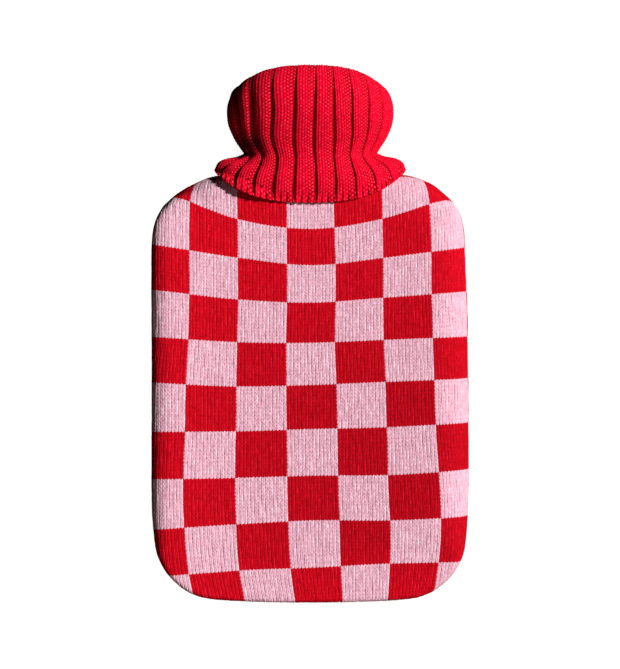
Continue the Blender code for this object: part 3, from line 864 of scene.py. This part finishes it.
def ribbed_knit(colours):
    """Soft woollen yarn in red, knitted in broad ribs: strands 1.7 mm wide with painted shade in the gaps
    between them.

    Its fibres too are finer than a pixel, and are drawn as specks of about 1 mm.
    """
    material = bpy.data.materials.new("ribbed_wool_knit")
    material.use_nodes = True
    tree = material.node_tree
    values = stitch_values(tree, 0.5)
    # painted shade: across a rib the gaps between strands show as faint lines on the left, hardly in the
    # middle, and on the right the stitches of neighbouring strands lie bright and dark side by side
    place = [values["wale"], 1 / COLLAR_WALES, 0.5 / COLLAR_WALES]
    rib = node(tree, "Math", place, operation="MULTIPLY_ADD")
    share = node(tree, "Math", [rib], operation="FRACT")
    left = node(tree, "MapRange", [share, 0.36, 0.46, 0.55, 0.05])
    right = node(tree, "MapRange", [share, 0.48, 0.66, 0.0, 1.0])
    gap = node(tree, "Math", [values["gap"], 1.5], operation="POWER")
    lines = node(tree, "Math", [gap, left], operation="MULTIPLY")
    patchy = uneven(tree, values, "strand", (3.1, 0.6), 0.0, 1.1)
    gaps = node(tree, "Math", [lines, patchy], operation="MULTIPLY")
    loose = uneven(tree, values, "strand", (7.3, 1.7), 0.4, 1.3)
    ends = node(tree, "MapRange", [values["end"], 0.25, 0.75, 0.0, 1.0])
    dots = node(tree, "Math", [ends, right], operation="MULTIPLY")
    painted_gap_shade = node(tree, "Math", [dots, loose, gaps], operation="MULTIPLY_ADD", use_clamp=True)
    # painted glints, where loose fibres catch the light on the belly of a strand
    belly = node(tree, "Math", [values["leg"], values["belly"]], operation="MULTIPLY")
    peak = node(tree, "MapRange", [belly, 0.05, 0.10, 0.0, 1.0])
    caught = uneven(tree, values, "strand", (5.1, 0.95), -0.3, 1.1)
    often = node(tree, "Math", [right, 0.3, caught], operation="MULTIPLY_ADD")
    glint = node(tree, "Math", [peak, often], operation="MULTIPLY", use_clamp=True)
    painted_glints = node(tree, "Math", [glint, 0.8], operation="MULTIPLY")
    # painted shade between the ribs, where only the bellies of the strands still show
    painted_shade = node(tree, "Attribute", out="Fac", attribute_name="painted_shade")
    dark = node(tree, "Math", [peak, -0.6, 0.95], operation="MULTIPLY_ADD")
    shade = node(tree, "Math", [painted_shade, dark], operation="MULTIPLY", use_clamp=True)
    # the collar's yarn under its painted shade in the gaps, its painted glints and its painted shade between
    # the ribs
    colour = colours.collar
    layers = ((painted_gap_shade, colours.collar_shade), (painted_glints, colours.collar_painted_glint), (shade, colours.collar_painted_deep_shade))
    for share, over in layers:
        colour = node(tree, "Mix", {"Factor": share, 6: colour, 7: over}, out=2, data_type="RGBA")
    strands = uneven(tree, values, "strand", (3.7, 0.6), 0.86, 1.16, 2.0)
    specks = fluff(tree, 1000.0, 0.86, 1.14)
    bright = node(tree, "Math", [strands, specks], operation="MULTIPLY")
    bumps = node(tree, "Math", [values["hole"], -1.0, specks], operation="MULTIPLY_ADD")
    finish_yarn(tree, colour, bright, bumps, 0.04, linear("E02848"))
    return material


def matt_paper(colour):
    """Uncoated paper: plain and matt, with the faintest grain."""
    material = bpy.data.materials.new("matt_paper")
    material.use_nodes = True
    tree = material.node_tree
    shader = tree.nodes["Principled BSDF"]
    grain = fluff(tree, 300.0, 0.0, 1.0)
    bump = node(tree, "Bump", {"Height": grain, "Strength": 0.05, "Distance": 0.2 * MM})
    tree.links.new(bump, shader.inputs["Normal"])
    shader.inputs["Base Color"].default_value = colour
    shader.inputs["Roughness"].default_value = 0.9
    return material


# ---- operators ----
class COVER_OT_back(bpy.types.Operator):
    """Knit the back panel."""

    bl_idname = "cover.back"
    bl_label = "Back panel"

    def execute(self, context):
        scene = context.scene
        piece = panel_mesh("back_knit", False, scene.cover_sizes, checked_knit(scene.cover_colours))
        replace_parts(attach(piece, "root"), "back_panel")
        return {"FINISHED"}


class COVER_OT_front(bpy.types.Operator):
    """Knit the front panel."""

    bl_idname = "cover.front"
    bl_label = "Front panel"

    def execute(self, context):
        scene = context.scene
        piece = panel_mesh("front_knit", True, scene.cover_sizes, checked_knit(scene.cover_colours))
        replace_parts(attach(piece, "root"), "front_panel")
        return {"FINISHED"}


class COVER_OT_collar(bpy.types.Operator):
    """Knit the roll collar."""

    bl_idname = "cover.collar"
    bl_label = "Roll collar"

    def execute(self, context):
        scene = context.scene
        piece = collar_mesh("collar_knit", scene.cover_sizes, ribbed_knit(scene.cover_colours))
        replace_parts(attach(piece, "root"), "roll_collar")
        return {"FINISHED"}


# The lights: name, direction that they come from, colour, strength, spread in degrees, whether they cast
# shadows, and what they light.  The sky light is a little warm, as it is thrown back by what stands around.
LIGHTS = (
    ("key", (0.714, 0.333, 0.616), "FFFFFF", 5.0, 8.0, True, "cover"),
    ("sky", (0.22, -0.8, 0.6), "FFE8EA", 0.76, 80.0, True, "cover"),
    ("floor_soft", (0.0, 0.0, 1.0), "FFFFFF", 1.4, 50.0, True, "floor"),
    ("floor_even", (0.0, 0.0, 1.0), "FFFFFF", 2.7, 5.0, False, "floor"),
)
FLOOR_CORNERS = ((-30, -30, 0), (30, -30, 0), (30, 30, 0), (-30, 30, 0))
FLOOR_DROP = 0.6 * MM  # how far the floor stays below the cover
CAMERA_PLACE, CAMERA_LENS = (0, -0.0003, 3.738), 300  # straight above, far away, with a long lens


def add_lights(scene, lit):
    """The lights, each on its own collection of what it lights, and a white world that lights nothing."""
    for name, toward, colour, strength, spread, shadow, what in LIGHTS:
        data = bpy.data.lights.new(name, "SUN")
        data.color = linear(colour)[:3]
        data.energy = strength
        data.angle = math.radians(spread)
        data.use_shadow = shadow
        light = bpy.data.objects.new(name, data)
        light.rotation_euler = Vector(toward).to_track_quat("Z", "Y").to_euler()
        light.light_linking.receiver_collection = lit[what]
        scene.collection.objects.link(light)
    world = bpy.data.worlds.new("studio")
    scene.world = world
    world.use_nodes = True
    world.node_tree.nodes["Background"].inputs["Color"].default_value = (1, 1, 1, 1)
    world.node_tree.nodes["Background"].inputs["Strength"].default_value = 1.0
    world.cycles_visibility.diffuse = world.cycles_visibility.glossy = False


class COVER_OT_stage(bpy.types.Operator):
    """Set the floor, the lights and the camera."""

    bl_idname = "cover.stage"
    bl_label = "Stage"

    def execute(self, context):
        scene = context.scene
        cover = [piece for piece in scene.objects if piece.type == "MESH"]
        mesh = bpy.data.meshes.new("floor")
        mesh.from_pydata(FLOOR_CORNERS, [], [(0, 1, 2, 3)])
        mesh.materials.append(matt_paper(scene.cover_colours.floor))
        floor = bpy.data.objects.new("floor", mesh)
        floor.location.z = -FLOOR_DROP
        floor.visible_diffuse = floor.visible_glossy = False
        scene.collection.objects.link(floor)
        lit = {}
        for what, pieces in (("cover", cover), ("floor", [floor])):
            lit[what] = bpy.data.collections.new("lit_" + what)
            for piece in pieces:
                lit[what].objects.link(piece)
        add_lights(scene, lit)
        scene.view_settings.view_transform = "Standard"
        data = bpy.data.cameras.new("camera")
        data.lens = CAMERA_LENS
        camera = bpy.data.objects.new("camera", data)
        camera.location = CAMERA_PLACE
        scene.collection.objects.link(camera)
        scene.camera = camera
        return {"FINISHED"}


class COVER_PT_panel(bpy.types.Panel):
    """The cover's sizes, colours and operators."""

    bl_label = "Knitted cover"
    bl_space_type = "VIEW_3D"
    bl_region_type = "UI"
    bl_category = "Cover"

    def draw(self, context):
        for group in (context.scene.cover_sizes, context.scene.cover_colours):
            for key in group.__annotations__:
                self.layout.prop(group, key)
        for operator in OPERATORS:
            self.layout.operator(operator.bl_idname)


OPERATORS = (COVER_OT_back, COVER_OT_front, COVER_OT_collar, COVER_OT_stage)
CLASSES = (CoverSizes, CoverColours, *OPERATORS, COVER_PT_panel)


def register():
    """Register the classes and hang the properties on the scene."""
    for cls in CLASSES:
        bpy.utils.register_class(cls)
    bpy.types.Scene.cover_sizes = bpy.props.PointerProperty(type=CoverSizes)
    bpy.types.Scene.cover_colours = bpy.props.PointerProperty(type=CoverColours)


def unregister():
    """Take away what register added."""
    del bpy.types.Scene.cover_colours
    del bpy.types.Scene.cover_sizes
    for cls in reversed(CLASSES):
        bpy.utils.unregister_class(cls)


def main():
    """Knit the pieces over the solids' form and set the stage."""
    register()
    bpy.ops.cover.back()
    bpy.ops.cover.front()
    bpy.ops.cover.collar()
    bpy.ops.cover.stage()
    bpy.context.view_layer.update()


if __name__ == "__main__":
    main()
